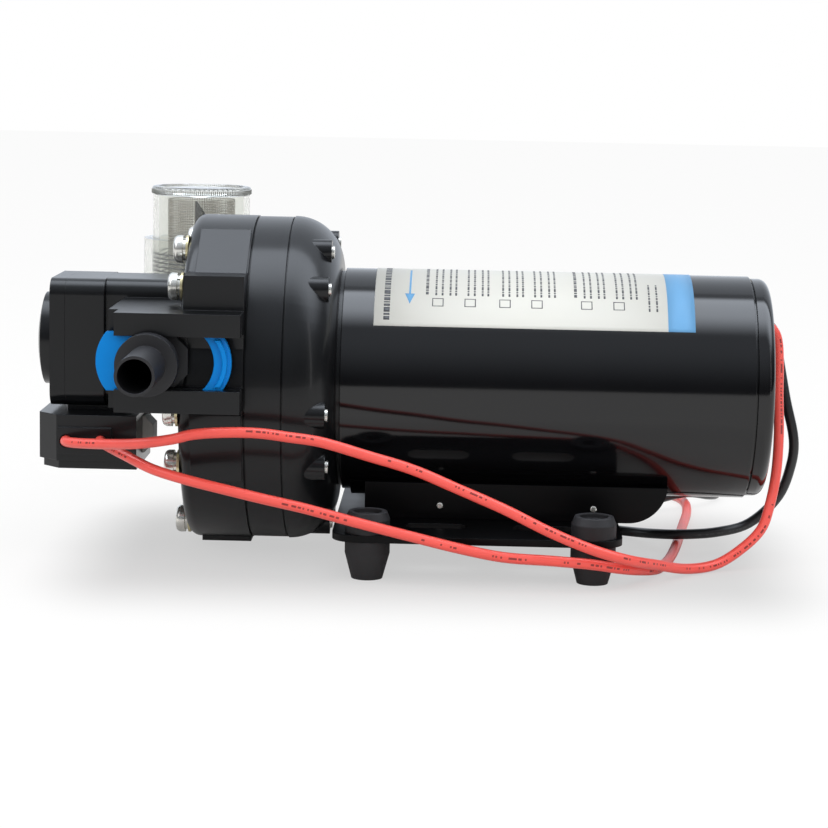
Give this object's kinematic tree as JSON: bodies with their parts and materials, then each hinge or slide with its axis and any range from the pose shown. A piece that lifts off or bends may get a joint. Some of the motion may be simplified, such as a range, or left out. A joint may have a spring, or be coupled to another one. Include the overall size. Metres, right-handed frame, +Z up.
{
  "type": "caravan water pump",
  "caption": "Diaphragm water pump for a caravan: long motor, round wobble-plate head, pressure switch, clipped hose ports, clear inlet strainer and a base on rubber feet.",
  "frame": {"origin": "centre of the four mounting holes, on the floor under the rubber feet", "axes": "+X along the motor from the pump head to the rear cap, +Y to the inlet side, +Z up"},
  "size_m": [0.2495, 0.2224, 0.113],
  "materials": {
    "black_nylon": "moulded satin",
    "gloss_black_paint": "gloss",
    "zinc_plated_steel": "bright zinc",
    "yellow_zinc_steel": "yellow zinc",
    "black_rubber": "matte",
    "red_rubber": "matte",
    "blue_acetal": "satin",
    "clear_plastic": "clear",
    "steel_mesh": "woven mesh",
    "ferrite": "matte",
    "core_steel": "stacked sheet",
    "copper": "enamelled",
    "bronze": "sintered",
    "carbon": "matte",
    "brown_laminate": "matte",
    "white_plastic": "moulded",
    "grey_plastic": "moulded",
    "red_pvc": "extruded",
    "black_pvc": "extruded"
  },
  "bodies": {
    "pump": {"pump_head": "black_nylon", "middle_ring": "black_nylon", "bell_housing": "black_nylon", "switch_housing": "black_nylon", "switch_cover": "black_nylon", "switch_box": "black_nylon", "switch_box_lid": "black_nylon", "outlet_fitting": "black_nylon", "motor_can": "gloss_black_paint", "motor_end_cap": "gloss_black_paint", "motor_saddle": "gloss_black_paint", "base_plate": "gloss_black_paint", "through_bolts": "zinc_plated_steel", "front_bearing_outer": "zinc_plated_steel", "head_screws": "zinc_plated_steel", "spring_washers": "zinc_plated_steel", "saddle_rivets": "zinc_plated_steel", "brush_springs": "zinc_plated_steel", "pressure_spring": "zinc_plated_steel", "flat_washers": "yellow_zinc_steel", "diaphragm": "black_rubber", "pressure_diaphragm": "black_rubber", "outlet_o_ring": "black_rubber", "inlet_o_ring": "black_rubber", "foot_front_left": "black_rubber", "foot_front_right": "black_rubber", "foot_rear_left": "black_rubber", "foot_rear_right": "black_rubber", "motor_grommets": "black_rubber", "inlet_valves": "red_rubber", "outlet_valve": "red_rubber", "strainer_body": "clear_plastic", "motor_magnets": "ferrite", "bare_lead_ends": "copper", "rear_bush": "bronze", "carbon_brushes": "carbon", "brush_holder": "brown_laminate", "valve_plate": "white_plastic", "microswitch": "grey_plastic", "red_link_wire": "red_pvc", "red_supply_lead": "red_pvc", "black_supply_lead": "black_pvc"},
    "rotor": {"front_bearing_inner": "zinc_plated_steel", "motor_shaft": "zinc_plated_steel", "armature_core": "core_steel", "armature_windings": "copper", "commutator": "copper", "eccentric_hub": "zinc_plated_steel", "cam_bearing_inner": "zinc_plated_steel"},
    "wobble": {"cam_bearing_outer": "zinc_plated_steel", "wobble_plate": "white_plastic", "pistons": "white_plastic", "piston_screws": "zinc_plated_steel"},
    "outlet_clip": {"outlet_clip": "blue_acetal"},
    "inlet_clip": {"inlet_clip": "blue_acetal"},
    "screen": {"strainer_screen": "steel_mesh", "strainer_gasket": "black_rubber"},
    "bowl": {"strainer_bowl": "clear_plastic"},
    "plunger": {"pressure_plunger": "white_plastic"}
  },
  "joints": [
    {"name": "rotor_spin", "type": "hinge", "parent": "pump", "child": "rotor", "pos_m": [0, 0, 0.056], "axis": [1, 0, 0], "continuous": true},
    {"name": "wobble_nutate", "type": "hinge", "parent": "rotor", "child": "wobble", "pos_m": [-0.07465, 0, 0.056], "axis": [0.9976, 0, -0.0698], "continuous": true, "deforming": ["diaphragm"]},
    {"name": "outlet_clip_slide", "type": "slide", "parent": "pump", "child": "outlet_clip", "axis": [-1, 0, 0], "range_m": [0, 0.008]},
    {"name": "inlet_clip_slide", "type": "slide", "parent": "pump", "child": "inlet_clip", "axis": [-1, 0, 0], "range_m": [0, 0.008]},
    {"name": "bowl_lift", "type": "slide", "parent": "pump", "child": "screen", "axis": [0, 0, 1], "range_m": [0, 0.003]},
    {"name": "bowl_turn", "type": "hinge", "parent": "screen", "child": "bowl", "pos_m": [-0.1016, 0.084, 0.056], "axis": [0, 0, 1], "range_deg": [0, 360]},
    {"name": "plunger_slide", "type": "slide", "parent": "pump", "child": "plunger", "axis": [-1, 0, 0], "range_m": [0, 0.0012], "stiffness_N_per_m": 2000, "deforming": ["pressure_spring"]}
  ],
  "couplings": [
    {"joint": "wobble_nutate", "follows": "rotor_spin", "ratio": -1},
    {"joint": "bowl_turn", "follows": "bowl_lift", "rad_per_m": 2094.4}
  ]
}
